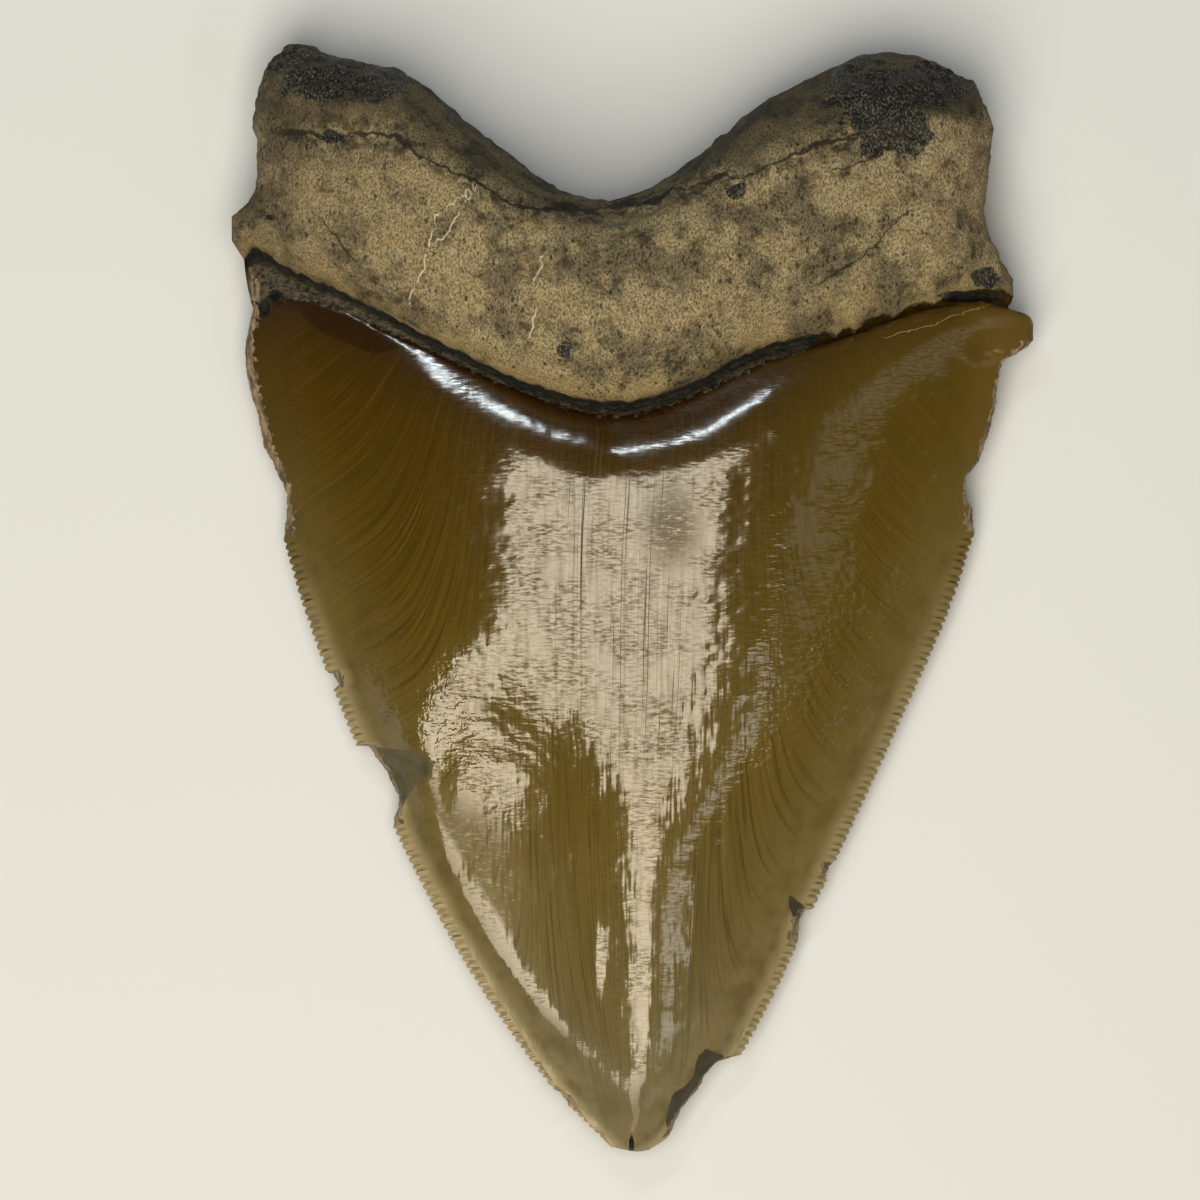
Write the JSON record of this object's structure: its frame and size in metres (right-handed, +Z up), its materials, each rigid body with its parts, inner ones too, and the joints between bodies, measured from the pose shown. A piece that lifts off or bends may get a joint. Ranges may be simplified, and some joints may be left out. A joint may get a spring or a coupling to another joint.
{
  "type": "fossil shark tooth",
  "caption": "Large fossil shark tooth with a two-lobed tan root and a glossy olive crown, finely serrated and chipped along its edges.",
  "frame": {"origin": "middle of the tooth's outline, on the table it lies on", "axes": "+Z up out of the domed inner face, +Y from the tip to the root, X across the crown"},
  "size_m": [0.0919, 0.1268, 0.025],
  "materials": {
    "fossil": "glossy olive enamel on the crown, dull porous tan root, dark rough neck band between them"
  },
  "bodies": {
    "root": {"tooth": "fossil"}
  },
  "joints": []
}
